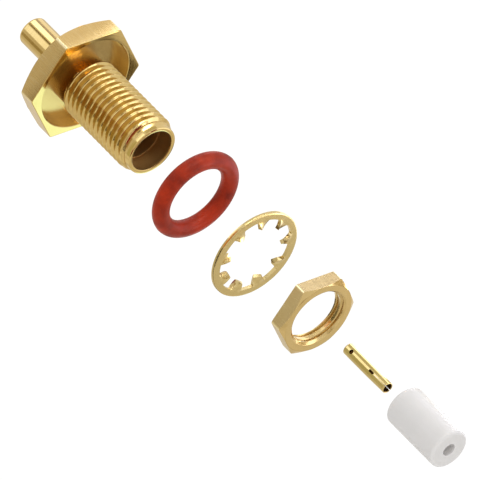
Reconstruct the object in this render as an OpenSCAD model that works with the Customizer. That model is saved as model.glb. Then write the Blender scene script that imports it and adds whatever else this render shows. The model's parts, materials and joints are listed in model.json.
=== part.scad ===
// Bulkhead SMA jack for semi-rigid cable, laid out along its own axis ready to assemble.
// Millimetres. The axis lies along Y and the mouth faces -Y. The origin is the centre of the
// mating reference plane, the step inside the mouth on which a plug's sleeve stops.
// Each piece is modelled along its own +Z, where z = 0 is the reference plane, and turned over.

/* [Barrel] */
// Major diameter of the barrel's thread, 1/4 in
thread_d = 6.35; // [6:0.01:7]
// Thread pitch, 36 turns to the inch
pitch = 0.7056; // [0.5:0.0001:0.9]
// From the panel seat to the rim of the mouth
barrel_len = 11.2; // [10:0.1:14]
// Unthreaded neck in front of the panel seat
neck_len = 0.35; // [0.2:0.05:1]
// Plain ring between the thread and the rim
pilot_len = 0.5; // [0.3:0.05:1]
// Cone that runs the thread's front end down to the plain ring
runout_len = 0.75; // [0.5:0.05:1.2]
// Gap between the plain ring's surface and the bottom of the thread
pilot_relief = 0.02; // [0:0.01:0.1]
// Edge break on both edges of the rim
rim_chamfer = 0.1; // [0.05:0.01:0.15]

/* [Mouth and cavity] */
// Bore that a plug's sleeve enters
mouth_d = 4.65; // [4.6:0.01:4.8]
// Depth of the reference plane below the rim
mouth_depth = 1.95; // [1.88:0.01:2]
// Width of the step at the reference plane
step_w = 0.16; // [0.1:0.01:0.3]
// Bore for the cable's outer conductor
cable_bore_d = 2.24; // [2:0.01:2.4]

/* [Flange] */
// Thickness of the hexagonal flange
flange_t = 2.25; // [2.1:0.05:3.5]
// Rim of the flange's front face outside the groove, across a flat
rim_w = 0.49; // [0.3:0.01:1]
// Depth of the O-ring groove
groove_depth = 1.4; // [1:0.05:1.6]
// Room round the outside of the O-ring in its groove
groove_room = 0.2; // [0.1:0.01:0.4]
// Slope of the chamfer on the hexagons' corners
hex_chamfer_angle = 30; // [15:1:45]
// Turn of both hexagons about the axis
hex_turn = 49; // [0:1:60]

/* [Solder tube] */
// Outside of the tube that the cable is soldered into
tube_d = 3.15; // [2.9:0.01:3.6]
// Length of the tube behind the flange
tube_len = 6.75; // [4:0.05:10]
// Edge break at the tube's open end
tube_chamfer = 0.12; // [0.05:0.01:0.2]

/* [O-ring] */
// Thickness of the ring's round section
o_ring_section = 1.78; // [1.6:0.01:2.2]
// Radial gap between the ring's hole and the thread
o_ring_gap = 0.05; // [0.03:0.01:0.2]

/* [Lock washer] */
// Outside of the washer
washer_d = 10; // [9.5:0.05:12]
// Width of the washer's flat ring
washer_band = 0.75; // [0.6:0.05:1]
// Thickness of the sheet
washer_t = 0.4; // [0.3:0.01:0.6]
// Number of teeth
tooth_count = 9; // [7:1:11]
// Width of a tooth where it leaves the ring
tooth_w = 1.15; // [0.8:0.05:1.3]
// Width of a tooth's tip as a share of its root
tooth_taper = 0.8; // [0.5:0.05:1]
// Twist of a tooth's tip out of the sheet's plane
tooth_twist = 38; // [15:1:50]
// Radial gap between the teeth's tips and the thread
tooth_gap = 0.08; // [0.05:0.01:0.2]
// Turn of the teeth about the axis
tooth_turn = -4.5; // [-20:0.5:20]

/* [Panel nut] */
// Width across the nut's flats
nut_af = 7.9; // [7.8:0.05:10]
// Thickness of the nut
nut_t = 1.6; // [1.2:0.05:3]
// Radial gap between the nut's hole and the top of the barrel's thread
nut_gap = 0.05; // [0.02:0.01:0.1]
// Countersink at both ends of the nut's hole
nut_sink = 0.2; // [0.1:0.01:0.3]

/* [Center contact] */
// Outside of the contact
contact_d = 1.27; // [1.2:0.01:1.4]
// Length of the contact
contact_len = 6.4; // [5.5:0.05:7]
// Socket for the plug's pin
socket_d = 0.94; // [0.9:0.01:0.96]
// Depth of the socket
socket_depth = 2.9; // [2.7:0.05:3.2]
// Length of the slot that parts the socket into two tines
slot_len = 2.6; // [2:0.05:2.6]
// Width of the slot along the closed-in tines
slot_w = 0.09; // [0.06:0.01:0.2]
// Width of the round-ended eye at the slot's root
eye_w = 0.26; // [0.22:0.01:0.3]
// Length of the eye
eye_len = 0.7; // [0.5:0.05:1]
// Reduction of the contact's radius at the tips of the tines
tine_taper = 0.05; // [0.02:0.01:0.08]
// Socket for the cable's centre conductor
conductor_d = 0.6; // [0.52:0.01:0.64]
// Depth of that socket
conductor_depth = 1.8; // [1.2:0.05:2]
// Hole through the wall that shows the solder
sight_d = 0.4; // [0.3:0.01:0.45]
// From the contact's rear end to the middle of that hole
sight_from_end = 0.93; // [0.6:0.01:1]
// Edge break at the contact's rear end
contact_chamfer = 0.06; // [0.03:0.01:0.1]
// Turn of the slot and the sight hole about the axis
slot_turn = 122; // [0:1:180]
// How far the tines' tips lie behind the reference plane
contact_recess = 0.1; // [0:0.01:0.25]

/* [Dielectric] */
// Length of the insulator
dielectric_len = 7.3; // [7:0.05:8]
// Rounding of the insulator's edges
dielectric_round = 0.3; // [0.1:0.01:0.4]
// Radial gap between the insulator and its cavity
dielectric_gap = 0.04; // [0.02:0.01:0.1]
// Radial gap between the contact and the insulator's bore
contact_gap = 0.05; // [0.03:0.01:0.1]

/* [Layout] */
// Gap left between pieces that seat face to face
seat_gap = 0.04; // [0.02:0.01:0.1]
// How far the O-ring stands in front of its seat
o_ring_pull = 18.9; // [15:0.1:30]
// How far the lock washer stands in front of its seat
washer_pull = 27.3; // [25:0.1:40]
// How far the panel nut stands in front of its seat
nut_pull = 35.7; // [33:0.1:50]
// How far the contact stands in front of its seat
contact_pull = 40.8; // [40:0.1:60]
// How far the insulator stands in front of its seat
dielectric_pull = 50.6; // [50:0.1:80]

/* [Hidden] */
$fn = 120;
// Thread form: sixty-degree ridges with flat tops of an eighth and flat bottoms of a quarter
ridge_top = pitch / 8;
ridge_bottom = pitch / 4;
ridge_side = (pitch - ridge_top - ridge_bottom) / 2;
thread_r = thread_d / 2;
root_r = thread_r - ridge_side / tan(30);
pilot_r = root_r - pilot_relief;

// Heights along the axis, measured from the reference plane
rim_z = mouth_depth;
seat_z = rim_z - barrel_len;
runout_top_z = rim_z - pilot_len;
flange_rear_z = seat_z - flange_t;
tube_end_z = flange_rear_z - tube_len;
groove_z = seat_z - groove_depth;
thread_start_z = seat_z + neck_len;
ridge_count = floor((runout_top_z - thread_start_z) / pitch);
// How far the barrel and the tube run on into the flange's solid floor
flange_bury = (flange_t - groove_depth) / 2;

// O-ring, groove and flange
o_ring_mid_r = thread_r + o_ring_gap + o_ring_section / 2;
groove_r = o_ring_mid_r + o_ring_section / 2 + groove_room;
flange_af = 2 * (groove_r + rim_w);
o_ring_seat_z = groove_z + o_ring_section / 2 + seat_gap;

// Washer and nut, each seated on the piece below it
tooth_tip_r = thread_r + tooth_gap;
tooth_tip_w = tooth_w * tooth_taper;
tooth_reach = (tooth_tip_w * sin(tooth_twist) + washer_t * cos(tooth_twist)) / 2;
washer_seat_z = o_ring_seat_z + o_ring_section / 2 + seat_gap + tooth_reach;
nut_hole_r = thread_r + nut_gap;
nut_seat_z = washer_seat_z + tooth_reach + seat_gap;

// Insulator and contact
dielectric_r = mouth_d / 2 - step_w - dielectric_gap;
cavity_r = dielectric_r + dielectric_gap;
cavity_z = -dielectric_len - seat_gap;
contact_r = contact_d / 2;

overlap = 1;

gold = "#cfa858";
pale_gold = "#d6b76c";
silicone_red = "#a8301e";
ptfe_white = "#e6e3e0";

// Turns a piece modelled along +Z so that its front faces -Y, and stands it off by a distance.
module on_axis(pull = 0)
    rotate([90, 0, 0])
        translate([0, 0, pull])
            children();

// Cylinder from one height to another, run past each end by a margin.
module bore(r, z0, z1, past0 = 0, past1 = 0)
    translate([0, 0, z0 - past0])
        cylinder(r = r, h = z1 - z0 + past0 + past1);

// Hexagonal bar whose corners are turned down to its inscribed circle at the z = 0 end.
module chamfered_hex(af, t)
    intersection() {
        rotate([0, 0, hex_turn])
            cylinder(r = af / 2 / cos(30), h = t, $fn = 6);
        cylinder(r1 = af / 2, r2 = af / 2 + t / tan(hex_chamfer_angle), h = t);
    }

// Half section of the ridged stretch of the barrel, one ridge for each pitch.
function ridge_points(i) =
    let (z = thread_start_z + i * pitch)
    [
        [root_r, z],
        [thread_r, z + ridge_side],
        [thread_r, z + ridge_side + ridge_top],
        [root_r, z + 2 * ridge_side + ridge_top],
    ];

module ridged_section()
    polygon(concat(
        [[0, thread_start_z]],
        [for (i = [0 : ridge_count - 1]) each ridge_points(i)],
        [[root_r, runout_top_z], [0, runout_top_z]]
    ));

// Envelope that cuts the last ridges down to the plain ring along a cone.
module runout_section()
    polygon([
        [0, thread_start_z],
        [thread_r, thread_start_z],
        [thread_r, runout_top_z - runout_len],
        [pilot_r, runout_top_z],
        [0, runout_top_z],
    ]);

module barrel() {
    rotate_extrude()
        intersection() {
            ridged_section();
            runout_section();
        }
    rotate_extrude()
        polygon([
            [0, groove_z - flange_bury],
            [root_r, groove_z - flange_bury],
            [root_r, thread_start_z],
            [0, thread_start_z],
        ]);
    rotate_extrude()
        polygon([
            [0, runout_top_z],
            [pilot_r, runout_top_z],
            [pilot_r, rim_z - rim_chamfer],
            [pilot_r - rim_chamfer, rim_z],
            [0, rim_z],
        ]);
}

// Hexagonal flange with the O-ring groove sunk into its front face.
module flange()
    difference() {
        translate([0, 0, flange_rear_z])
            chamfered_hex(flange_af, flange_t);
        bore(groove_r, groove_z, seat_z, past1 = overlap);
    }

module solder_tube()
    translate([0, 0, tube_end_z]) {
        cylinder(r1 = tube_d / 2 - tube_chamfer, r2 = tube_d / 2, h = tube_chamfer);
        translate([0, 0, tube_chamfer])
            cylinder(r = tube_d / 2, h = tube_len - tube_chamfer + flange_bury);
    }

module connector_body()
    color(gold)
        on_axis()
            difference() {
                union() {
                    barrel();
                    flange();
                    solder_tube();
                }
                bore(mouth_d / 2, 0, rim_z, past1 = overlap);
                translate([0, 0, rim_z - rim_chamfer])
                    cylinder(r1 = mouth_d / 2, r2 = mouth_d / 2 + 2 * rim_chamfer, h = 2 * rim_chamfer);
                bore(cavity_r, cavity_z, 0, past1 = rim_chamfer);
                bore(cable_bore_d / 2, tube_end_z, cavity_z, past0 = overlap, past1 = overlap);
            }

module o_ring()
    color(silicone_red)
        on_axis(o_ring_pull)
            translate([0, 0, o_ring_seat_z])
                rotate_extrude()
                    translate([o_ring_mid_r, 0])
                        circle(d = o_ring_section, $fn = 48);

// One tooth, drawn out towards the axis from inside the ring and twisted on the way.
module tooth() {
    buried_r = (washer_d - washer_band) / 2;
    translate([buried_r, 0, 0])
        rotate([0, -90, 0])
            linear_extrude(height = buried_r - tooth_tip_r, twist = tooth_twist, slices = 8,
                           scale = [1, tooth_taper], $fn = 4)
                square([washer_t, tooth_w], center = true);
}

module lock_washer()
    color(pale_gold)
        on_axis(washer_pull)
            translate([0, 0, washer_seat_z]) {
                translate([0, 0, -washer_t / 2])
                    difference() {
                        cylinder(d = washer_d, h = washer_t);
                        bore(washer_d / 2 - washer_band, 0, washer_t, overlap, overlap);
                    }
                for (i = [0 : tooth_count - 1])
                    rotate([0, 0, tooth_turn + i * 360 / tooth_count])
                        tooth();
            }

// The nut's chamfered face looks forward; its plain face meets the washer.
module panel_nut()
    color(gold)
        on_axis(nut_pull)
            translate([0, 0, nut_seat_z])
                difference() {
                    translate([0, 0, nut_t])
                        mirror([0, 0, 1])
                            chamfered_hex(nut_af, nut_t);
                    bore(nut_hole_r, 0, nut_t, overlap, overlap);
                    cylinder(r1 = nut_hole_r + nut_sink, r2 = nut_hole_r, h = nut_sink);
                    translate([0, 0, nut_t - nut_sink])
                        cylinder(r1 = nut_hole_r, r2 = nut_hole_r + nut_sink, h = nut_sink);
                }

// Slot through both walls of the socket: an eye with round ends, then a narrow slit to the tips.
module slot_section() {
    translate([-slot_w / 2, -slot_len + eye_len / 2])
        square([slot_w, slot_len]);
    for (z = [-slot_len + eye_w / 2, -slot_len + eye_len - eye_w / 2])
        translate([0, z])
            circle(d = eye_w, $fn = 32);
    translate([-eye_w / 2, -slot_len + eye_w / 2])
        square([eye_w, eye_len - eye_w]);
}

module center_contact()
    color(gold)
        on_axis(contact_pull)
            translate([0, 0, -contact_recess])
                rotate([0, 0, slot_turn])
                    difference() {
                        rotate_extrude()
                            polygon([
                                [0, -contact_len],
                                [contact_r - contact_chamfer, -contact_len],
                                [contact_r, -contact_len + contact_chamfer],
                                [contact_r, -slot_len],
                                [contact_r - tine_taper, 0],
                                [0, 0],
                            ]);
                        bore(socket_d / 2, -socket_depth, 0, past1 = overlap);
                        bore(conductor_d / 2, -contact_len, -contact_len + conductor_depth,
                             past0 = overlap);
                        translate([0, 0, -contact_len + sight_from_end])
                            rotate([0, 90, 0])
                                cylinder(d = sight_d, h = contact_d);
                        rotate([90, 0, 90])
                            translate([0, 0, -contact_d])
                                linear_extrude(height = 2 * contact_d)
                                    slot_section();
                    }

module dielectric()
    color(ptfe_white)
        on_axis(dielectric_pull)
            difference() {
                rotate_extrude()
                    rounded_bar_section(dielectric_r, -dielectric_len, 0, dielectric_round);
                bore(contact_r + contact_gap, -dielectric_len, 0, overlap, overlap);
            }

// Half section of a bar whose two outer edges are quarter rounds.
module rounded_bar_section(r, z0, z1, edge) {
    polygon(concat(
        [[0, z0]],
        [for (a = [-90 : 15 : 0]) [r - edge + edge * cos(a), z0 + edge + edge * sin(a)]],
        [for (a = [0 : 15 : 90]) [r - edge + edge * cos(a), z1 - edge + edge * sin(a)]],
        [[0, z1]]
    ));
}

connector_body();
o_ring();
lock_washer();
panel_nut();
center_contact();
dielectric();
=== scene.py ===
"""Looks for a bulkhead SMA jack: turned body, seal ring, lock washer, nut, contact and insulator.

Each section makes one piece, in the order in which they are threaded on the row, and the studio is
last. Lengths are in millimetres until a point goes into a mesh. A height h runs along the
connector's axis out of its mouth, from the plane that a mating plug stops at, so y is -h.
"""

import json
from math import cos, pi, radians, sin, tan

import bmesh
import bpy
import numpy as np
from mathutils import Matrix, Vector


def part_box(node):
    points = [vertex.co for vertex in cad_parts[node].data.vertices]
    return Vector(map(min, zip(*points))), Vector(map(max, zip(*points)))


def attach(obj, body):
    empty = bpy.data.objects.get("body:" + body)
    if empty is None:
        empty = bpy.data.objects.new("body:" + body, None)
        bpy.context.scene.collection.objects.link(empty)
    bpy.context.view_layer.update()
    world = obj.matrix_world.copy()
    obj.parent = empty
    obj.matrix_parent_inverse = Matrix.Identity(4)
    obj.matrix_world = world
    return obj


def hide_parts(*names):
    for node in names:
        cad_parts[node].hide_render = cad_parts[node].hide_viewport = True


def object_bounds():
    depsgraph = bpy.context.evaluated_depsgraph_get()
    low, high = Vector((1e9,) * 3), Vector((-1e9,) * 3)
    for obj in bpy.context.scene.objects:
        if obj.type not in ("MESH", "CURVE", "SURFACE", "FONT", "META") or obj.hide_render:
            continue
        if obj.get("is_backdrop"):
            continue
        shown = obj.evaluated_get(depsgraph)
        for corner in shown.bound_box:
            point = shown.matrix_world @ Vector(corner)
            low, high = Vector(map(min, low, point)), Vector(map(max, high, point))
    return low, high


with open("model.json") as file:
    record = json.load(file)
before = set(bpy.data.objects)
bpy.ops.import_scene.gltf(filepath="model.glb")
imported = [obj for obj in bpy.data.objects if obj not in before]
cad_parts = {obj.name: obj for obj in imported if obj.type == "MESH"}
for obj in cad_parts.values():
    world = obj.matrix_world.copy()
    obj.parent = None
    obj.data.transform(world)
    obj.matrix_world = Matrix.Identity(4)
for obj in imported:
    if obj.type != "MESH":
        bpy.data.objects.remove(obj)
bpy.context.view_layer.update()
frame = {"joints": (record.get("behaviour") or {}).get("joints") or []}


# ---------------------------------------------------------------------------------------------
# Connector body: one piece of brass, turned from hexagon bar, bored from the mouth for the
# insulator and from behind for the cable, threaded 36 turns to the inch, and plated with gold
# over nickel. The hexagon keeps fine lines along the bar; all else is turned.
# ---------------------------------------------------------------------------------------------
THREAD_R = 3.175
PITCH = 25.4 / 36
THREAD_SHARES = (0.3125, 0.125, 0.3125, 0.25)  # rising side, flat top, falling side, flat bottom
SLOPE_30 = tan(radians(30))  # of the thread's sides and of the hexagons' turned-down corners
ROOT_R = THREAD_R - THREAD_SHARES[0] * PITCH / SLOPE_30
HEX_TURN = 49.0  # where round the axis, in degrees, both hexagons have a corner


def round_the_axis(corner_turn=None, columns=180):
    """Angles once round the axis, the first repeated as the last. With a corner_turn, a fan of
    close angles is added at each of a hexagon's six corners, where the surface bends.
    """
    angle = np.linspace(0, 360, columns + 1)
    if corner_turn is not None:
        half_fan = np.array([0.3, 0.7, 1.1, 1.6, 2.2, 3, 4])
        fan = np.concatenate([-half_fan, [0], half_fan])
        corners = (corner_turn + 60 * np.arange(6)[:, None] + fan).ravel() % 360
        angle = np.unique(np.round(np.concatenate([angle, corners]), 4))
    return np.radians(angle)


def hexagon_radius(angle, across_flats, turn, sharpness=80):
    """Radius of a hexagon with slightly rounded corners: half the width over flats, divided by the
    p-norm of the cosines to the six flats' normals. A larger p is a sharper corner.
    """
    normals = np.radians(turn + 30 + 60 * np.arange(6))
    toward = np.clip(np.cos(angle[None, :] - normals[:, None]), 0, 1)
    return across_flats / 2 / (toward**sharpness).sum(0) ** (1 / sharpness)


def corner_highlight_share(angle, turn, width):
    """How much highlight is painted on a hexagon at an angle: a bell curve about each corner, 1 at
    the corner itself, with a half-width in degrees.
    """
    apart = (np.degrees(angle) - turn + 30) % 60 - 30
    return np.exp(-((apart / width) ** 2))


def thread_depth(turns):
    """Height of the thread above its root as a share of the full depth, for a position counted in
    turns: up one side, along the top, down the other side, along the bottom.
    """
    up, top, down, _ = THREAD_SHARES
    t = np.mod(turns, 1.0)
    return np.clip(np.minimum(t / up, (up + top + down - t) / down), 0, 1)


def helical_rows(angle, low, high, per_turn=20):
    """Heights of grid rows that climb one pitch in each turn, as a right-hand thread does, so that
    its edges lie along rows. Rows are cut off at low and high, where they run into each other.
    """
    count = int(np.ceil(((high - low) / PITCH + 1) * per_turn)) + 1
    start = low - PITCH + np.arange(count) * PITCH / per_turn
    return np.clip(start[:, None] + PITCH * angle[None, :] / (2 * pi), low, high)


def skin(name, radius, height, film_and_shade, angle, sharp=30.0, spin=0.0, corner_highlight=0.0):
    """A closed surface from rows of radius and height carried round the axis: the point is (r cos
    a, -h, r sin a), and the last row joins the first. Points that meet are merged, which closes
    the seam and drops what has no area. spin is added to the angle, point by point. Two values are
    kept at each point for the material. The first is 0 on bright plating and 1 or more deep in a
    bore or thread root, where the plating is thinner and duller and its brown is painted shade.
    The second is 1 along a hexagon's corners, where a highlight is painted.
    """
    radius, height, film_and_shade, corner_highlight = np.broadcast_arrays(radius, height, film_and_shade, corner_highlight)
    turned = angle[None, :] + spin
    points = np.stack([radius * np.cos(turned), -height, radius * np.sin(turned)], -1) / 1000
    rows, columns = radius.shape
    i, j = np.meshgrid(np.arange(rows), np.arange(columns - 1), indexing="ij")
    below, above = i * columns + j, (i + 1) % rows * columns + j
    faces = np.stack([below, above, above + 1, below + 1], -1).reshape(-1, 4)
    mesh = bpy.data.meshes.new(name)
    mesh.from_pydata(points.reshape(-1, 3).tolist(), [], faces.tolist())
    mesh.attributes.new("film_and_shade", "FLOAT", "POINT").data.foreach_set("value", film_and_shade.ravel())
    mesh.attributes.new("corner_highlight", "FLOAT", "POINT").data.foreach_set("value", corner_highlight.ravel())
    close_up(mesh, sharp)
    piece = bpy.data.objects.new(name, mesh)
    bpy.context.scene.collection.objects.link(piece)
    return piece


def close_up(mesh, sharp):
    """Merges points within a hundred-thousandth of a millimetre, turns all faces outwards and
    shades the mesh smooth except along edges sharper than the given angle, in degrees.
    """
    same_point = 1e-8
    bm = bmesh.new()
    bm.from_mesh(mesh)
    bmesh.ops.remove_doubles(bm, verts=bm.verts, dist=same_point)
    bmesh.ops.recalc_face_normals(bm, faces=bm.faces)
    bm.to_mesh(mesh)
    bm.free()
    mesh.shade_smooth()
    mesh.set_sharp_from_angle(angle=radians(sharp))


def stacked(profile, angle):
    """Radius, height and film of a list of (radius, height) or (radius, height, film) rows, where
    each may be one number or one number for each angle. Film, the thinner and duller plating and
    painted shade of hollows, is 0 where it isn't given. A long step gets a row close to either
    end, which keeps the shading between them flat.
    """
    long_step, from_end = 0.25, 0.05
    plain = np.ones_like(angle)
    rows = np.array([[value * plain for value in (*row, 0.0)[:3]] for row in profile])
    step = np.diff(rows, axis=0)
    length = np.hypot(step[:, 0], step[:, 1]).max(-1)[:, None, None]
    share = np.where(length > long_step, from_end / np.maximum(length, long_step), 0.0)
    held = np.stack([rows[:-1], rows[:-1] + share * step, rows[1:] - share * step], 1)
    return np.concatenate([held.reshape(-1, *rows.shape[1:]), rows[-1:]]).swapaxes(0, 1)


body_low, body_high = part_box("connector_body")
RIM_H = -body_low.y * 1000
TUBE_END_H = -body_high.y * 1000
SEAT_H = RIM_H - 11.2
FLANGE_REAR_H = SEAT_H - 2.25
FLANGE_AF = 11.39
GROOVE_H = SEAT_H - 1.4
GROOVE_R = 5.205
TUBE_R = 1.575
CABLE_R = 1.12
MOUTH_R = 2.325
CAVITY_R = 2.165
CAVITY_H = -7.34
THREAD_LOW_H = SEAT_H + 0.35
THREAD_HIGH_H = RIM_H - 0.5
RUN_OUT, RUN_IN = 1.4, 0.75  # how steeply the thread rises from the neck, and its taper's length
PILOT_R = ROOT_R - 0.02
EDGE, FILLET = 0.05, 0.12  # a broken edge, and the tube's rounded ends

around = round_the_axis(HEX_TURN)
hexagon = hexagon_radius(around, FLANGE_AF, HEX_TURN)
flat_start = FLANGE_REAR_H + (hexagon - FLANGE_AF / 2) * SLOPE_30

# rows of radius, height and film, from the cable bore's end round the tube and flange to the neck
# film in these rows browns the cable bore's edge and the groove with painted shade
behind = [
    (CABLE_R, TUBE_END_H + EDGE, 0.8), (CABLE_R + EDGE, TUBE_END_H),
    (TUBE_R - FILLET, TUBE_END_H), (TUBE_R - 0.035, TUBE_END_H + 0.04),
    (TUBE_R, TUBE_END_H + 0.14),
    (TUBE_R, FLANGE_REAR_H - FILLET), (TUBE_R + 0.035, FLANGE_REAR_H - 0.035),
    (TUBE_R + FILLET, FLANGE_REAR_H), (FLANGE_AF / 2 - EDGE, FLANGE_REAR_H),
    (FLANGE_AF / 2 + 0.02, FLANGE_REAR_H + 0.02), (hexagon, flat_start + 0.02),
    (hexagon, SEAT_H - 0.06), (hexagon - 0.02, SEAT_H - 0.02), (hexagon - 0.06, SEAT_H),
    (GROOVE_R + EDGE, SEAT_H), (GROOVE_R, SEAT_H - EDGE),
    (GROOVE_R, GROOVE_H, 0.3), (ROOT_R, GROOVE_H, 0.4),
]
# and from the thread's front end over the rim, down the mouth and the cavity to the cable bore
# film in these rows is painted shade, darkest down the mouth and in the cavity
in_front = [
    (PILOT_R, RIM_H - 0.1), (PILOT_R - 0.03, RIM_H - 0.03), (PILOT_R - 0.1, RIM_H),
    (MOUTH_R + 0.1, RIM_H), (MOUTH_R + 0.02, RIM_H - 0.04, 0.3), (MOUTH_R, RIM_H - 0.1, 0.8),
    (MOUTH_R, 0.0, 1.7), (CAVITY_R + 0.03, 0.0, 1.7), (CAVITY_R, -0.03, 1.4),
    (CAVITY_R, CAVITY_H, 1.0), (CABLE_R + EDGE, CAVITY_H, 1.0), (CABLE_R, CAVITY_H - EDGE, 1.0),
]
rear_r, rear_h, rear_film_and_shade = stacked(behind, around)
front_r, front_h, front_film_and_shade = stacked(in_front, around)
thread_h = helical_rows(around, THREAD_LOW_H, THREAD_HIGH_H)
turns = (thread_h - THREAD_LOW_H) / PITCH - around[None, :] / (2 * pi)
envelope = np.minimum(
    ROOT_R + RUN_OUT * (thread_h - THREAD_LOW_H),
    PILOT_R + (THREAD_R - PILOT_R) / RUN_IN * (THREAD_HIGH_H - thread_h),
)
ridge = thread_depth(turns)
thread_r = np.minimum(ROOT_R + (THREAD_R - ROOT_R) * ridge, envelope)
body = skin(
    "turned_body",
    np.vstack([rear_r, thread_r, front_r]),
    np.vstack([rear_h, thread_h, front_h]),
    # the thread's roots get a little painted shade through the film
    np.vstack([rear_film_and_shade, 0.1 * (1 - ridge), front_film_and_shade]),
    around,
    corner_highlight=corner_highlight_share(around, HEX_TURN, 1.0),
)


def linear(code):
    """An sRGB hex colour as linear numbers and full alpha: each share c becomes ((c + 0.055) /
    1.055) to the power 2.4, or c / 12.92 where it is small.
    """
    c = np.array([int(code[k : k + 2], 16) for k in (1, 3, 5)]) / 255
    c = np.where(c <= 0.04045, c / 12.92, ((c + 0.055) / 1.055) ** 2.4)
    return (*c.tolist(), 1.0)


def add(tree, kind, inputs=(), **settings):
    """Adds one node with its settings. inputs pairs a socket's name or number with a value or with
    another node's output.
    """
    made = tree.nodes.new(kind)
    for key, value in settings.items():
        setattr(made, key, value)
    for key, value in dict(inputs).items():
        if isinstance(value, bpy.types.NodeSocket):
            tree.links.new(value, made.inputs[key])
        else:
            made.inputs[key].default_value = value
    return made


def blank(name):
    """A new material with an empty node tree."""
    material = bpy.data.materials.new(name)
    material.use_nodes = True
    material.node_tree.nodes.clear()
    return material, material.node_tree


def turned_gold(
    name, colour="#D7BC7E", shade="#C8AA66", dull_and_shaded="#B58F58",
    roughness=0.10, ring_gap=0.11, depth=0.12,
):
    """Gold-plated brass off the lathe. Its tool leaves rings round the axis, which the plating
    follows, so highlights draw out across them. Deep in bores and thread roots the plating is
    thinner and duller, and the brown mixed in there is painted shade. The real feed marks are
    0.03 mm apart; they are drawn ring_gap apart, three to five times as far, so that they show.
    Clouds of tone some 2.4 mm wide keep it from looking painted.
    """
    cloud_scale, film_roughness = 420.0, 0.38
    material, tree = blank(name)
    place = add(tree, "ShaderNodeTexCoord")
    flat = add(tree, "ShaderNodeMapping", {"Vector": place.outputs["Object"], "Scale": (1, 0, 1)})
    reach = add(tree, "ShaderNodeVectorMath", {0: flat.outputs[0]}, operation="LENGTH")
    apart = add(tree, "ShaderNodeSeparateXYZ", {0: place.outputs["Object"]})
    ring = add(tree, "ShaderNodeCombineXYZ", {0: reach.outputs["Value"], 1: apart.outputs["Y"]})
    marks = add(tree, "ShaderNodeTexNoise", {
        "Vector": ring.outputs[0], "Scale": 1000 / ring_gap, "Detail": 3.0})
    cloud = add(tree, "ShaderNodeTexNoise", {
        "Vector": place.outputs["Object"], "Scale": cloud_scale, "Detail": 3.0})
    film_and_shade = add(tree, "ShaderNodeAttribute", attribute_name="film_and_shade")
    tint = add(tree, "ShaderNodeMix", {
        0: cloud.outputs["Fac"], 6: linear(colour), 7: linear(shade)}, data_type="RGBA")
    # painted shade: the film mixes a brown in, deep in bores and thread roots
    shaded_in_hollows = add(tree, "ShaderNodeMix", {
        0: film_and_shade.outputs["Fac"], 6: tint.outputs[2], 7: linear(dull_and_shaded)}, data_type="RGBA")
    fine = add(tree, "ShaderNodeMapRange", {
        "Value": marks.outputs["Fac"], 1: 0.3, 2: 0.7, 3: roughness * 0.75, 4: roughness * 1.3})
    rough = add(tree, "ShaderNodeMath", {
        0: film_and_shade.outputs["Fac"], 1: film_roughness, 2: fine.outputs[0]}, operation="MULTIPLY_ADD")
    bump = add(tree, "ShaderNodeBump", {
        "Strength": depth, "Distance": 2e-5, "Height": marks.outputs["Fac"]})
    surface = add(tree, "ShaderNodeBsdfPrincipled", {
        "Base Color": shaded_in_hollows.outputs[2], "Metallic": 1.0,
        "Roughness": rough.outputs[0], "Normal": bump.outputs[0]})
    add(tree, "ShaderNodeOutputMaterial", {"Surface": surface.outputs[0]})
    return material


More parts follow.
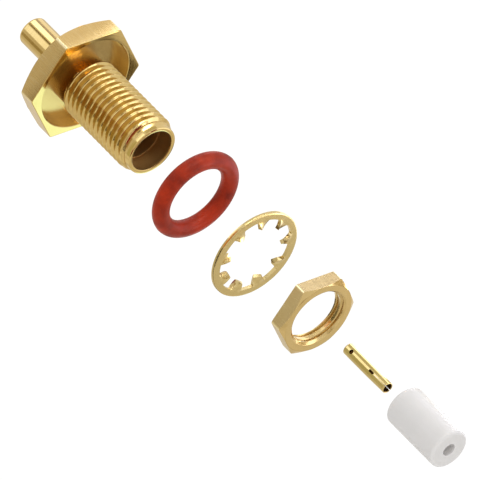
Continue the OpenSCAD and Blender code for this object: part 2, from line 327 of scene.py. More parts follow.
def milled_gold(name, colour="#CFB67E", shade="#C2A56A", roughness=0.27, line_gap=0.07):
    """Gold-plated brass hexagon. The drawing die leaves fine lines along the axis that the plating
    doesn't hide; they spread a highlight, so a flat looks satin and even, with a few pale
    scratches. Its corners are smoother, and a pale highlight is painted along them. The real
    lines are some 0.03 mm apart; they are drawn line_gap apart, two or three times as far.
    """
    # the first colour is a highlight painted along the corners, which are also less rough
    painted_highlight, scratched, smoother_at_corners = "#F0DFB0", "#DCCA9E", -0.14
    line_scale = (1000 / line_gap, 420, 1000 / line_gap)
    scratch_scale = (5600, 380, 5600)
    material, tree = blank(name)
    place = add(tree, "ShaderNodeTexCoord")
    along = add(tree, "ShaderNodeMapping", {
        "Vector": place.outputs["Object"], "Scale": line_scale})
    marks = add(tree, "ShaderNodeTexNoise", {
        "Vector": along.outputs[0], "Scale": 1.0, "Detail": 2.0})
    wide = add(tree, "ShaderNodeMapping", {
        "Vector": place.outputs["Object"], "Scale": scratch_scale, "Rotation": (0, 0, 0.05)})
    scratch = add(tree, "ShaderNodeTexNoise", {
        "Vector": wide.outputs[0], "Scale": 1.0, "Detail": 2.0})
    pale = add(tree, "ShaderNodeMapRange", {
        "Value": scratch.outputs["Fac"], 1: 0.53, 2: 0.72, 3: 0.0, 4: 0.32})
    cloud = add(tree, "ShaderNodeTexNoise", {
        "Vector": place.outputs["Object"], "Scale": 600.0, "Detail": 3.0})
    tint = add(tree, "ShaderNodeMix", {
        0: cloud.outputs["Fac"], 6: linear(colour), 7: linear(shade)}, data_type="RGBA")
    lined = add(tree, "ShaderNodeMix", {
        0: pale.outputs[0], 6: tint.outputs[2], 7: linear(scratched)}, data_type="RGBA")
    # painted highlight along the hexagon's corners
    corner_highlight = add(tree, "ShaderNodeAttribute", attribute_name="corner_highlight")
    highlighted = add(tree, "ShaderNodeMix", {
        0: corner_highlight.outputs["Fac"], 6: lined.outputs[2], 7: linear(painted_highlight)}, data_type="RGBA")
    fine = add(tree, "ShaderNodeMapRange", {
        "Value": marks.outputs["Fac"], 1: 0.3, 2: 0.7, 3: roughness * 0.85, 4: roughness * 1.2})
    rough = add(tree, "ShaderNodeMath", {
        0: corner_highlight.outputs["Fac"], 1: smoother_at_corners, 2: fine.outputs[0]}, operation="MULTIPLY_ADD")
    bump = add(tree, "ShaderNodeBump", {
        "Strength": 0.12, "Distance": 1e-5, "Height": marks.outputs["Fac"]})
    surface = add(tree, "ShaderNodeBsdfPrincipled", {
        "Base Color": highlighted.outputs[2], "Metallic": 1.0,
        "Roughness": rough.outputs[0], "Normal": bump.outputs[0]})
    add(tree, "ShaderNodeOutputMaterial", {"Surface": surface.outputs[0]})
    return material


def mark_flats(piece, across_flats, turn, low, high):
    """Gives the second material to the faces of the hexagon's six flats: those outside its
    inscribed circle, between two heights, whose normals are square to the axis.
    """
    mesh = piece.data
    middle = np.empty(len(mesh.polygons) * 3)
    normal = np.empty(len(mesh.polygons) * 3)
    mesh.polygons.foreach_get("center", middle)
    mesh.polygons.foreach_get("normal", normal)
    middle, normal = middle.reshape(-1, 3) * 1000, normal.reshape(-1, 3)
    out = np.hypot(middle[:, 0], middle[:, 2]) > across_flats / 2 - 0.01
    level = (-middle[:, 1] > low) & (-middle[:, 1] < high) & (abs(normal[:, 1]) < 0.05)
    mesh.polygons.foreach_set("material_index", (out & level).astype(np.int32))


body.data.materials.append(turned_gold("gold_plated_turned_brass"))
body.data.materials.append(milled_gold("gold_plated_milled_brass"))
mark_flats(body, FLANGE_AF, HEX_TURN, FLANGE_REAR_H, SEAT_H)
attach(body, "body")
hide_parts("connector_body")


# ---------------------------------------------------------------------------------------------
# O-ring: a moulded ring of red silicone rubber that seals the panel. It drops loose into the
# groove in the flange. The mould's two halves leave a faint line round its inside and outside.
# ---------------------------------------------------------------------------------------------
SEAL_MID_R = 4.115
SEAL_SECTION_R = 0.89
FLASH = 0.012
OUT_OF_ROUND = 0.004

seal_low, seal_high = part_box("o_ring")
seal_h = -(seal_low.y + seal_high.y) * 500
around = round_the_axis(columns=240)
section = np.linspace(0, 2 * pi, 72, endpoint=False)[:, None]
# the ring is a torus whose section stands proud by the flash at its inner and outer side
section_r = SEAL_SECTION_R - FLASH + FLASH * np.exp(-((np.sin(section) / 0.06) ** 2))
swell = 1 + OUT_OF_ROUND * np.sin(2 * around + 0.7)[None, :]
seal = skin(
    "seal_ring",
    SEAL_MID_R * swell + section_r * np.cos(section),
    seal_h + section_r * np.sin(section),
    0.0,
    around,
    sharp=60,
)


def silicone_rubber(name, colour="#B23110", shade="#7B1E0B", dust="#BC6044"):
    """Red moulded silicone. It is dense and matt, takes wide soft highlights, and holds a little
    pale dust and mould bloom, so its red is never quite even. Its clouds are some 2.4 mm wide. The
    mould's own grain is too fine to show and is drawn at 0.2 mm.
    """
    cloud_scale, grain_scale, most_dust = 420.0, 5200.0, 0.14
    material, tree = blank(name)
    place = add(tree, "ShaderNodeTexCoord")
    cloud = add(tree, "ShaderNodeTexNoise", {
        "Vector": place.outputs["Object"], "Scale": cloud_scale, "Detail": 4.0, "Roughness": 0.55})
    share = add(tree, "ShaderNodeMapRange", {
        "Value": cloud.outputs["Fac"], 1: 0.35, 2: 0.68, 3: 0.0, 4: 1.0})
    red = add(tree, "ShaderNodeMix", {
        0: share.outputs[0], 6: linear(colour), 7: linear(shade)}, data_type="RGBA")
    speck = add(tree, "ShaderNodeTexNoise", {
        "Vector": place.outputs["Object"], "Scale": grain_scale, "Detail": 2.0})
    bloom = add(tree, "ShaderNodeMapRange", {
        "Value": speck.outputs["Fac"], 1: 0.6, 2: 0.78, 3: 0.0, 4: most_dust})
    skinned = add(tree, "ShaderNodeMix", {
        0: bloom.outputs[0], 6: red.outputs[2], 7: linear(dust)}, data_type="RGBA")
    rough = add(tree, "ShaderNodeMapRange", {
        "Value": cloud.outputs["Fac"], 1: 0.3, 2: 0.7, 3: 0.34, 4: 0.46})
    bump = add(tree, "ShaderNodeBump", {
        "Strength": 0.08, "Distance": 5e-5, "Height": speck.outputs["Fac"]})
    surface = add(tree, "ShaderNodeBsdfPrincipled", {
        "Base Color": skinned.outputs[2], "Roughness": rough.outputs[0], "Normal": bump.outputs[0],
        "IOR": 1.42, "Specular IOR Level": 0.19, "Subsurface Weight": 0.06,
        "Subsurface Radius": (0.9, 0.2, 0.12), "Subsurface Scale": 0.0004})
    add(tree, "ShaderNodeOutputMaterial", {"Surface": surface.outputs[0]})
    return material


seal.data.materials.append(silicone_rubber("red_silicone_rubber"))
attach(seal, "o_ring")
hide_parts("o_ring")


# ---------------------------------------------------------------------------------------------
# Lock washer: stamped from 0.4 mm spring bronze sheet and gold plated. Its nine inner teeth are
# twisted out of the sheet's plane, so each bites the nut with one corner and the panel with the
# other. Stamping rounds the edges on one side of the sheet.
# ---------------------------------------------------------------------------------------------
WASHER_R = 5.0
BAND_R = 4.25
HALF_SHEET = 0.2
TEETH = 9
TOOTH_HALF_W = 0.575
TOOTH_TAPER = 0.8
TOOTH_TIP_R = 3.255
TOOTH_TWIST = radians(38)
TOOTH_TURN = radians(-4.5)
TIP_CROWN = 0.05  # how far a tip's corners fall back behind its middle

washer_low, washer_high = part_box("lock_washer")
washer_h = -(washer_low.y + washer_high.y) * 500


def toothed_angles(teeth, turn, per_tooth=64):
    """Angles once round the washer, with each one's distance from its tooth's middle. Of each
    tooth's angles, the middle 30 % lie on it out to 0.72 of its half-width, the next 40 % run over
    its side out to 1.32, and the rest cover the gap.
    """
    share = np.linspace(-1, 1, per_tooth, endpoint=False)
    side = np.degrees(TOOTH_HALF_W / BAND_R) / (180 / teeth)
    bent = np.interp(abs(share), [0, 0.3, 0.7, 1], [0, 0.72 * side, 1.32 * side, 1])
    offset = np.tile(np.sign(share) * bent * pi / teeth, teeth)
    angle = turn + np.repeat(np.arange(teeth), per_tooth) * 2 * pi / teeth + offset
    return np.append(angle, angle[0] + 2 * pi), np.append(offset, offset[0])


around, offset = toothed_angles(TEETH, TOOTH_TURN)
side_share = abs(offset) * BAND_R / TOOTH_HALF_W
# a tooth's reach falls from full to none across its side, with a rounded tip corner and root
fall = np.clip((side_share - 0.78) / (1.24 - 0.78), 0, 1)
reach = 1 - fall * fall * (3 - 2 * fall)
tip_depth = BAND_R - TOOTH_TIP_R - TIP_CROWN * np.clip(side_share, 0, 1) ** 2


def band_row(radius, level):
    """Radius, height and sideways turn of one row on the plain band, at a level from the sheet's
    middle plane.
    """
    plain = np.ones_like(offset)
    return radius * plain, (washer_h + level) * plain, 0 * plain


def tooth_row(share, level):
    """Radius, height and sideways turn of one row on the teeth: share is how far in along a tooth,
    and level is the distance from the sheet's middle plane. The row's points keep their distance
    from the tooth's middle, narrowed towards the tip, and turn about the tooth's own line by the
    twist so far.
    """
    depth = tip_depth * reach * share
    r = BAND_R - depth
    part = depth / (BAND_R - TOOTH_TIP_R)
    across = offset * BAND_R * (1 - (1 - TOOTH_TAPER) * part)
    twist = TOOTH_TWIST * part**0.85
    sideways = across * np.cos(twist) - level * np.sin(twist)
    height = across * np.sin(twist) + level * np.cos(twist)
    on_tooth = part > 0
    spin = np.where(on_tooth, sideways / r - offset, 0.0)
    return r, washer_h + np.where(on_tooth, height, level), spin


# rows run from the rim's rolled edge over the front inwards, round each tip and back out behind
rolled_edge = [(0.01, 0.09), (0.05, 0.03), (0.11, 0.006), (0.19, 0.0), (0.24, 0.0)]
shares = [0.03, 0.12, *np.linspace(0.2, 0.96, 12), 1.0]
rows = [band_row(WASHER_R - inward, HALF_SHEET - down) for inward, down in rolled_edge]
rows += [band_row(BAND_R + 0.25, HALF_SHEET)]
rows += [tooth_row(share, HALF_SHEET) for share in shares]
rows += [tooth_row(1.0, HALF_SHEET * 0.6), tooth_row(1.0, -HALF_SHEET * 0.6)]
rows += [tooth_row(share, -HALF_SHEET) for share in reversed(shares)]
rows += [band_row(BAND_R + 0.25, -HALF_SHEET), band_row(WASHER_R - 0.02, -HALF_SHEET)]
rows += [band_row(WASHER_R, 0.02 - HALF_SHEET)]
washer_r, washer_row_h, washer_spin = np.array(rows).swapaxes(0, 1)
washer = skin(
    "lock_washer_stamping", washer_r, washer_row_h, 0.0, around, sharp=38, spin=washer_spin
)


def stamped_gold(name, colour="#D4C08A", shade="#C4AB70", roughness=0.20):
    """Gold-plated sheet, barrel-tumbled after stamping. Tumbling leaves shallow dimples some 0.4
    mm wide and no direction, so it shines softly and a little unevenly, with clouds of tone 2 mm
    wide.
    """
    dimple_scale, cloud_scale = 2600.0, 500.0
    material, tree = blank(name)
    place = add(tree, "ShaderNodeTexCoord")
    dimple = add(tree, "ShaderNodeTexNoise", {
        "Vector": place.outputs["Object"], "Scale": dimple_scale, "Detail": 2.0})
    cloud = add(tree, "ShaderNodeTexNoise", {
        "Vector": place.outputs["Object"], "Scale": cloud_scale, "Detail": 3.0})
    tint = add(tree, "ShaderNodeMix", {
        0: cloud.outputs["Fac"], 6: linear(colour), 7: linear(shade)}, data_type="RGBA")
    rough = add(tree, "ShaderNodeMapRange", {
        "Value": cloud.outputs["Fac"], 1: 0.3, 2: 0.7, 3: roughness * 0.8, 4: roughness * 1.3})
    bump = add(tree, "ShaderNodeBump", {
        "Strength": 0.35, "Distance": 3e-5, "Height": dimple.outputs["Fac"]})
    surface = add(tree, "ShaderNodeBsdfPrincipled", {
        "Base Color": tint.outputs[2], "Metallic": 1.0,
        "Roughness": rough.outputs[0], "Normal": bump.outputs[0]})
    add(tree, "ShaderNodeOutputMaterial", {"Surface": surface.outputs[0]})
    return material


washer.data.materials.append(stamped_gold("gold_plated_spring_bronze"))
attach(washer, "lock_washer")
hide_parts("lock_washer")


# ---------------------------------------------------------------------------------------------
# Panel nut: a thin hexagon nut of brass, parted off 5/16 in bar, its front corners turned down at
# 30 degrees, tapped 36 turns to the inch and gold plated. Its thread is cut on the body's own
# helix, so the two mesh when the nut has gone on.
# ---------------------------------------------------------------------------------------------
NUT_AF = 7.9
NUT_MINOR_R = 2.96
NUT_ROOM = 0.035  # how far the nut's thread stands off the body's
NUT_LIP = 0.03  # plain edge at either end of the tapped hole

nut_low, nut_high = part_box("panel_nut")
nut_front_h, nut_rear_h = -nut_low.y * 1000, -nut_high.y * 1000
travel = {j["name"]: j["range_m"][1] * 1000 for j in frame["joints"]}
nut_travel = travel["o_ring_slide"] + travel["lock_washer_slide"] + travel["panel_nut_slide"]

around = round_the_axis(HEX_TURN)
hexagon = hexagon_radius(around, NUT_AF, HEX_TURN, sharpness=55)
corner_h = nut_front_h - (hexagon - NUT_AF / 2) * SLOPE_30
sink_r = THREAD_R + 0.04
outside = [
    (THREAD_R + 0.1, nut_rear_h), (hexagon - EDGE, nut_rear_h), (hexagon, nut_rear_h + EDGE),
    (hexagon, corner_h - 0.02), (NUT_AF / 2 + 0.02, nut_front_h - 0.02),
    (NUT_AF / 2 - EDGE, nut_front_h), (THREAD_R + 0.1, nut_front_h),
    (sink_r, nut_front_h - NUT_LIP),
]
out_r, out_h, out_film_and_shade = stacked(outside, around)
tap_low, tap_high = nut_rear_h + NUT_LIP, nut_front_h - NUT_LIP
tap_h = helical_rows(around, tap_low, tap_high)[::-1]
tap_ridge = thread_depth((tap_h - nut_travel - THREAD_LOW_H) / PITCH - around[None, :] / (2 * pi))
# the groove takes the body's ridge, with the running room, between the minor diameter and a
# countersink of about 50 degrees at either end
groove = ROOT_R + NUT_ROOM + (THREAD_R - ROOT_R) * tap_ridge
sink = sink_r - 1.3 * np.minimum(tap_h - tap_low, tap_high - tap_h)
nut = skin(
    "hexagon_nut",
    np.vstack([out_r, np.maximum(np.maximum(groove, NUT_MINOR_R), sink)]),
    np.vstack([out_h, tap_h]),
    # the film in the tapped thread's roots is a little painted shade
    np.vstack([out_film_and_shade, 0.2 * tap_ridge]),
    around,
    corner_highlight=corner_highlight_share(around, HEX_TURN, 1.5),
)
nut.data.materials.append(turned_gold(
    "gold_plated_nut_face", colour="#D2B980", shade="#C4A66B", roughness=0.17, depth=0.2))
nut.data.materials.append(milled_gold(
    "gold_plated_nut_flat", colour="#D1BC8E", shade="#C3AA78", roughness=0.32, line_gap=0.09))
mark_flats(nut, NUT_AF, HEX_TURN, nut_rear_h, nut_front_h)
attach(nut, "panel_nut")
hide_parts("panel_nut")


# ---------------------------------------------------------------------------------------------
# Centre contact: a beryllium copper pin, bored at both ends, sawn in two at the front so that
# the tines grip the plug's pin, and gold plated. The eye at the slot's root spreads the strain,
# and the cable's conductor is soldered in behind through the small sight hole.
# ---------------------------------------------------------------------------------------------
CONTACT_R = 0.635
SOCKET_R = 0.47
CONDUCTOR_R = 0.3
SLOT_TURN = radians(120.5)
SLIT_HALF_W, TIP_HALF_W = 0.02, 0.06  # the tines stand close along the slit and open at their tips
EYE_R, EYE_HALF, EYE_FROM_TIP = 0.13, 0.22, 2.25
SIGHT_R, SIGHT_FROM_END = 0.23, 0.93

tip_low, tip_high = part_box("center_contact")
TIP_H, END_H = -tip_low.y * 1000, -tip_high.y * 1000
around = round_the_axis(columns=96)
# rows from the bottom of the conductor's bore out over the pin to the bottom of the socket
# film 1 down the conductor's bore and the socket is painted shade, a dark brown
pin_profile = [
    (0.0, END_H + 1.8, 1.0), (CONDUCTOR_R, END_H + 1.72, 1.0),
    (CONDUCTOR_R, END_H + 0.04, 1.0), (CONDUCTOR_R + 0.04, END_H),
    (CONTACT_R - 0.07, END_H), (CONTACT_R - 0.02, END_H + 0.02), (CONTACT_R, END_H + 0.07),
    (CONTACT_R, TIP_H - 2.6), (CONTACT_R - 0.02, TIP_H - 1.3), (CONTACT_R - 0.045, TIP_H - 0.12),
    (CONTACT_R - 0.06, TIP_H - 0.03), (CONTACT_R - 0.09, TIP_H),
    (SOCKET_R + 0.05, TIP_H), (SOCKET_R, TIP_H - 0.06, 0.9),
    (SOCKET_R, TIP_H - 2.7, 1.0), (0.0, TIP_H - 2.9, 1.0),
]
contact = skin("centre_contact_pin", *stacked(pin_profile, around), around)


def prism(name, outline, turn, middle_h, low, high):
    """A bar square to the axis: an outline of (sideways, along the axis) points about a height on
    the axis, carried from low to high in the direction that a turn about the axis gives. It cuts
    another piece and isn't kept.
    """
    outline = np.asarray(outline, float)
    count = len(outline)
    out = np.repeat([low, high], count)
    side, along = np.tile(outline[:, 0], 2), np.tile(outline[:, 1], 2) + middle_h
    x = out * cos(turn) - side * sin(turn)
    z = out * sin(turn) + side * cos(turn)
    points = np.stack([x, -along, z], 1) / 1000
    ring = np.arange(count)
    after = np.roll(ring, -1)
    faces = np.stack([ring, after, after + count, ring + count], 1).tolist()
    faces += [ring[::-1].tolist(), (ring + count).tolist()]
    mesh = bpy.data.meshes.new(name)
    mesh.from_pydata(points.tolist(), [], faces)
    # the walls that it cuts keep its film of 1, painted shade in the slot, eye and sight hole
    mesh.attributes.new("film_and_shade", "FLOAT", "POINT").data.foreach_set("value", np.ones(2 * count))
    close_up(mesh, 30)
    cutter = bpy.data.objects.new(name, mesh)
    bpy.context.scene.collection.objects.link(cutter)
    return cutter


def cut(piece, cutters, sharp):
    """Takes the cutters out of a piece, keeps the result as its mesh and removes the cutters."""
    for cutter in cutters:
        step = piece.modifiers.new("cut", "BOOLEAN")
        step.operation, step.solver, step.object = "DIFFERENCE", "EXACT", cutter
    finished = piece.evaluated_get(bpy.context.evaluated_depsgraph_get())
    result = bpy.data.meshes.new_from_object(finished)
    piece.modifiers.clear()
    piece.data = result
    close_up(result, sharp)
    for cutter in cutters:
        bpy.data.objects.remove(cutter)


half_turn = np.linspace(0, pi, 13)
half_eye = np.stack([EYE_R * np.cos(half_turn), EYE_HALF + EYE_R * np.sin(half_turn)], 1)
eye = np.concatenate([half_eye, -half_eye])
slit_side = [(SLIT_HALF_W, -0.2), (SLIT_HALF_W, 1.75), (TIP_HALF_W, 2.1), (TIP_HALF_W, 2.6)]
slit = np.concatenate([slit_side, np.array(slit_side)[::-1] * (-1, 1)])
whole_turn = np.linspace(0, 2 * pi, 33)[:-1]
sight = SIGHT_R * np.stack([np.cos(whole_turn), np.sin(whole_turn)], 1)
cut(contact, [
    prism("slot_eye", eye, SLOT_TURN, TIP_H - EYE_FROM_TIP, -1.0, 1.0),
    prism("slot_slit", slit, SLOT_TURN, TIP_H - 2.0, -1.0, 1.0),
    prism("sight_hole", sight, SLOT_TURN, END_H + SIGHT_FROM_END, 0.0, 1.0),
], sharp=30)
# its dark brown at full film is painted shade in the bores, slot, eye and sight hole
contact.data.materials.append(turned_gold(
    "gold_plated_beryllium_copper", colour="#D0BB82", shade="#C2AA6A", dull_and_shaded="#6E4A20",
    roughness=0.14, ring_gap=0.16, depth=0.08))
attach(contact, "center_contact")
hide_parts("center_contact")


# ---------------------------------------------------------------------------------------------
# Insulator: a plain bush cut from white PTFE rod, bored for the contact, with its edges broken.
# It sits in the body's cavity and holds the contact on the axis.
# ---------------------------------------------------------------------------------------------
BUSH_R = 2.125
BUSH_BORE_R = 0.685
BUSH_EDGE = 0.3

bush_low, bush_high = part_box("dielectric")
bush_front_h, bush_rear_h = -bush_low.y * 1000, -bush_high.y * 1000
around = round_the_axis(columns=128)
quarter = np.linspace(0, pi / 2, 9)
rounded = [(BUSH_R - BUSH_EDGE * (1 - sin(t)), BUSH_EDGE * (1 - cos(t))) for t in quarter]
bush_rows = [(BUSH_BORE_R, bush_rear_h + EDGE), (BUSH_BORE_R + EDGE, bush_rear_h)]
bush_rows += [(radius, bush_rear_h + inward) for radius, inward in rounded]
bush_rows += [(radius, bush_front_h - inward) for radius, inward in reversed(rounded)]
bush_rows += [(BUSH_BORE_R + EDGE, bush_front_h), (BUSH_BORE_R, bush_front_h - EDGE)]
bush = skin("insulator_bush", *stacked(bush_rows, around), around)


def ptfe(name, colour="#E3E0DE", shade="#DBD9D7"):
    """White PTFE, skived and turned. It is waxy and lets light a little way in, so its shadows are
    pale and its edges glow. Faint feed rings 0.1 mm apart and clouds of tone some 2 mm wide are
    all that its surface shows.
    """
    feed_scale, cloud_scale = 3000.0, 520.0
    material, tree = blank(name)
    place = add(tree, "ShaderNodeTexCoord")
    cloud = add(tree, "ShaderNodeTexNoise", {
        "Vector": place.outputs["Object"], "Scale": cloud_scale, "Detail": 3.0})
    tint = add(tree, "ShaderNodeMix", {
        0: cloud.outputs["Fac"], 6: linear(colour), 7: linear(shade)}, data_type="RGBA")
    feed = add(tree, "ShaderNodeTexWave", {
        "Vector": place.outputs["Object"], "Scale": feed_scale, "Distortion": 0.6,
        "Detail": 2.0}, wave_type="BANDS", bands_direction="Y")
    bump = add(tree, "ShaderNodeBump", {
        "Strength": 0.06, "Distance": 3e-5, "Height": feed.outputs["Fac"]})
    surface = add(tree, "ShaderNodeBsdfPrincipled", {
        "Base Color": tint.outputs[2], "Roughness": 0.42, "IOR": 1.36, "Normal": bump.outputs[0],
        "Subsurface Weight": 0.6, "Subsurface Radius": (1.0, 0.97, 0.94),
        "Subsurface Scale": 0.0006})
    add(tree, "ShaderNodeOutputMaterial", {"Surface": surface.outputs[0]})
    return material


bush.data.materials.append(ptfe("turned_white_ptfe"))
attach(bush, "dielectric")
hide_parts("dielectric")


# ---------------------------------------------------------------------------------------------
# Studio: a white floor some way under the row, a white room, two soft lamps, and a tent of pale
# and dark cards hung round the row for its gloss to mirror, as a jeweller's table is set. The
# camera stands well back with a long lens.
# ---------------------------------------------------------------------------------------------
FLOOR_DROP = 0.032
FLOOR_HALF = 3.0
LENS_BACK = 1.2


def studio_mesh(name, points, faces):
    """An object of the studio, from points in metres and faces that number them."""
    mesh = bpy.data.meshes.new(name)
    mesh.from_pydata(points, [], faces)
    made = bpy.data.objects.new(name, mesh)
    bpy.context.scene.collection.objects.link(made)
    return made


def curved_sheet(name, turn, along, reach, columns=33):
    """Part of a cylinder about the connector's axis, in millimetres: the point is (R cos a, y, R
    sin a), with a from turn[0] to turn[1] degrees and y from along[0] to along[1].
    """
    a, y = np.meshgrid(np.radians(np.linspace(*turn, columns)), np.array(along, float))
    points = np.stack([reach * np.cos(a), y, reach * np.sin(a)], -1).reshape(-1, 3) / 1000
    k = np.arange(columns - 1)
    faces = np.stack([k, k + 1, k + columns + 1, k + columns], 1)
    made = studio_mesh(name, points.tolist(), faces.tolist())
    made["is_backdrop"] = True
    return made


def card(name, turn, along, reach, shade, strength=1.0, patch=None):
    """A card of the tent, or a lit one where its strength is over 1. A patch colour makes it
    uneven, in clouds about 9 mm across. Only rays off a shiny surface meet it: it blocks no view,
    lights no matt surface and casts no shadow.
    """
    cloud_scale = 110.0
    made = curved_sheet(name, turn, along, reach)
    made.visible_camera = made.visible_transmission = False
    made.visible_diffuse = made.visible_shadow = False
    paper, tree = blank(name + "_paper")
    place = add(tree, "ShaderNodeTexCoord")
    cloud = add(tree, "ShaderNodeTexNoise", {
        "Vector": place.outputs["Object"], "Scale": cloud_scale, "Detail": 1.0})
    share = add(tree, "ShaderNodeMapRange", {
        "Value": cloud.outputs["Fac"], 1: 0.4, 2: 0.6, 3: 0.0, 4: 1.0})
    uneven = add(tree, "ShaderNodeMix", {
        0: share.outputs[0], 6: linear(shade), 7: linear(patch or shade)}, data_type="RGBA")
    tone = add(tree, "ShaderNodeEmission", {"Color": uneven.outputs[2], "Strength": strength})
    add(tree, "ShaderNodeOutputMaterial", {"Surface": tone.outputs[0]})
    made.data.materials.append(paper)


def seen_directly(tree):
    """1 for a ray from the camera, off a shiny surface or through glass, and 0 for one that lights
    a surface.
    """
    path = add(tree, "ShaderNodeLightPath")
    shiny = add(tree, "ShaderNodeMath", {
        0: path.outputs["Is Camera Ray"], 1: path.outputs["Is Glossy Ray"]}, operation="MAXIMUM")
    clear = path.outputs["Is Transmission Ray"]
    either_way = add(tree, "ShaderNodeMath", {0: shiny.outputs[0], 1: clear}, operation="MAXIMUM")
    return either_way.outputs[0]


floor_corners = FLOOR_HALF * np.array([(-1, -1, 0), (1, -1, 0), (1, 1, 0), (-1, 1, 0)])
floor_corners[:, 2] = body_low.z - FLOOR_DROP
floor = studio_mesh("studio_floor", floor_corners.tolist(), [(0, 1, 2, 3)])
floor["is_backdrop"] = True
# it lights the row as a pale matt floor, and to the eye it is white but for the row's shadow
floor_paint, tree = blank("white_studio_floor")
matt = add(tree, "ShaderNodeBsdfDiffuse", {"Color": linear("#E6E6E6")})
thin = add(tree, "ShaderNodeBsdfDiffuse", {"Color": linear("#848484")})
glow = add(tree, "ShaderNodeEmission", {"Color": (1, 1, 1, 1), "Strength": 0.82})
lit = add(tree, "ShaderNodeAddShader", {0: thin.outputs[0], 1: glow.outputs[0]})
either = add(tree, "ShaderNodeMixShader", {
    0: seen_directly(tree), 1: matt.outputs[0], 2: lit.outputs[0]})
add(tree, "ShaderNodeOutputMaterial", {"Surface": either.outputs[0]})
floor.data.materials.append(floor_paint)

world = bpy.data.worlds.new("white_room")
bpy.context.scene.world = world
world.use_nodes = True
tree = world.node_tree
tree.nodes.clear()
dim = add(tree, "ShaderNodeBackground", {"Color": (1, 1, 1, 1), "Strength": 0.74})
white = add(tree, "ShaderNodeBackground", {"Color": (1, 1, 1, 1), "Strength": 1.0})
room = add(tree, "ShaderNodeMixShader", {
    0: seen_directly(tree), 1: dim.outputs[0], 2: white.outputs[0]})
add(tree, "ShaderNodeOutputWorld", {"Surface": room.outputs[0]})

row_middle = Vector((0, (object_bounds()[0][1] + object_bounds()[1][1]) / 2, 0))


def softbox(name, direction, distance, size, brightness):
    """A square lamp of the given side, in metres, that faces the row's middle from a direction.
    Its power is its brightness times pi times its area. It doesn't show in gloss, which mirrors
    the tent instead.
    """
    lamp = bpy.data.lights.new(name, "AREA")
    lamp.shape, lamp.size, lamp.energy = "SQUARE", size, brightness * pi * size * size
    made = bpy.data.objects.new(name, lamp)
    out = Vector(direction).normalized()
    made.location = row_middle + distance * out
    made.rotation_euler = (-out).to_track_quat("-Z", "Y").to_euler()
    made.visible_glossy = False
    bpy.context.scene.collection.objects.link(made)


softbox("softbox_right", (0.60, 0.3, 0.74), 0.8, 0.6, 1.3)
softbox("softbox_front", (-0.35, -0.75, 0.56), 0.8, 0.5, 1.8)

# the tent itself: turn and reach about the axis, and the stretch along it, are set so that each
# card is mirrored by the surface that its name says; a nearer card covers those behind it
card("pale_card_under", (200, 345), (-90, 90), 30, "#FFFBF2", patch="#E6E1D3")
card("grey_card_left", (138, 200), (-80, 100), 92, "#F2EEE4", patch="#E0DACC")
card("lit_card_right", (-8, 80), (-80, 100), 92, "#F6F7FF", 1.2)
# for the flange's groove and face
card("lit_card_groove", (278, 297), (-16, -3), 29, "#D8F4F0", 2.3)
card("dark_card_groove", (298.5, 309.5), (-14, -7), 29, "#4E3F1E")
card("dark_card_groove_top", (98, 200), (-75, -40), 91, "#6A5632")
card("dim_card_groove", (42, 94), (-50, -42), 80, "#B4C0CC")
# for the thread
card("lit_card_thread_front", (-30, 42), (-64, -18), 22, "#F2F2FF", 3.4)
card("lit_card_thread", (4, 78), (52, 68.5), 90, "#F2F4FF", 5.2)
card("dark_strip_thread", (94, 110), (53, 69.4), 90, "#6E5E3C")
card("dark_card_thread", (148, 182), (53, 69.0), 90, "#33260A")
card("dim_card_thread_left", (138, 182), (8, 16.5), 22, "#C0A478", patch="#D2B888")
card("dark_card_thread_front", (186, 216), (-53, -38), 22, "#75664A")
# for the flange's flats and corner
card("pale_card_flats", (-8, 84), (14.8, 19.8), 14, "#FFF6EA", 1.2)
card("grey_card_flats_left", (136, 200), (14.8, 19.8), 14, "#DED6C6")
card("lit_strip_flange_corner", (70, 130), (69.8, 72.4), 90, "#FFFFFF", 1.5)
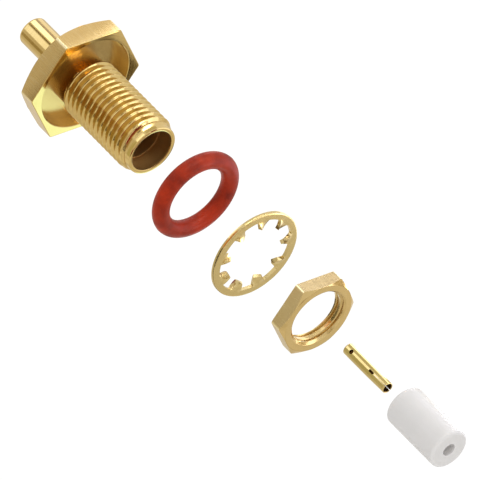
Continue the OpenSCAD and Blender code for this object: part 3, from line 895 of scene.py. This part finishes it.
# for the solder tube
card("lit_strip_tube_left", (112, 152), (72.8, 84), 90, "#E6ECFF", 2.1)
card("dark_strip_tube", (94, 106), (72.8, 84), 90, "#8F8058")
card("lit_strip_tube", (50, 86), (72.8, 84), 90, "#E2EAFF", 3.4)
card("dark_strip_tube_right", (28, 48), (72.8, 84), 89, "#D6D2EA")
card("lit_strip_tube_edge", (-6, 28), (72.8, 84), 89, "#F2F4FF", 1.6)
card("dark_card_tube", (176, 206), (72.6, 84), 90, "#B5A67E")
# for the nut
card("lit_strip_nut_corner", (62, 136), (30.2, 34.4), 90, "#FFFFFF", 1.9)
card("pale_card_nut_flats", (16, 84), (-24.2, -20.2), 14, "#E8E2DC")
card("pale_card_nut_chamfer", (-32, 20), (-40, -32.5), 12, "#E6DAC2")
card("lit_card_nut_bore", (-34, 14), (-26, -10), 14, "#E6ECFF", 2.4)
card("orange_card_nut_bore", (112, 148), (-19.8, -17.3), 12, "#E09040", 1.2)
card("dark_card_nut_bore", (150, 250), (-19.8, -17.3), 12, "#3A2A12")
# for the O-ring's soft highlights
card("lit_card_ring_low", (334, 360), (-42, -18), 21, "#FFF6EA", 8.0)
card("lit_card_ring_above", (40, 90), (-41, -20), 80, "#FFF6EA", 9.0)
# for the contact
card("lit_strip_pin", (96, 134), (12, 29), 90, "#EEF2FF", 2.4)
card("dark_card_pin_left", (134, 205), (12, 27), 90, "#D2CFA8")
card("dark_card_pin_right", (40, 88), (12, 29), 90, "#DEDAC0")

azimuth, elevation = radians(-35.74), radians(46.46)
back = Vector((sin(azimuth) * cos(elevation), -cos(azimuth) * cos(elevation), sin(elevation)))
aim = Vector((0.00033, -0.01611, -0.00067))
lens = bpy.data.cameras.new("long_lens")
lens.type, lens.sensor_width, lens.lens = "PERSP", 36.0, 932.0
lens.clip_start, lens.clip_end = 0.05, 20.0
camera = bpy.data.objects.new("camera", lens)
camera.location = aim + LENS_BACK * back
camera.rotation_euler = (-back).to_track_quat("-Z", "Y").to_euler()
bpy.context.scene.collection.objects.link(camera)
bpy.context.scene.camera = camera
bpy.context.scene.view_settings.view_transform = "Standard"
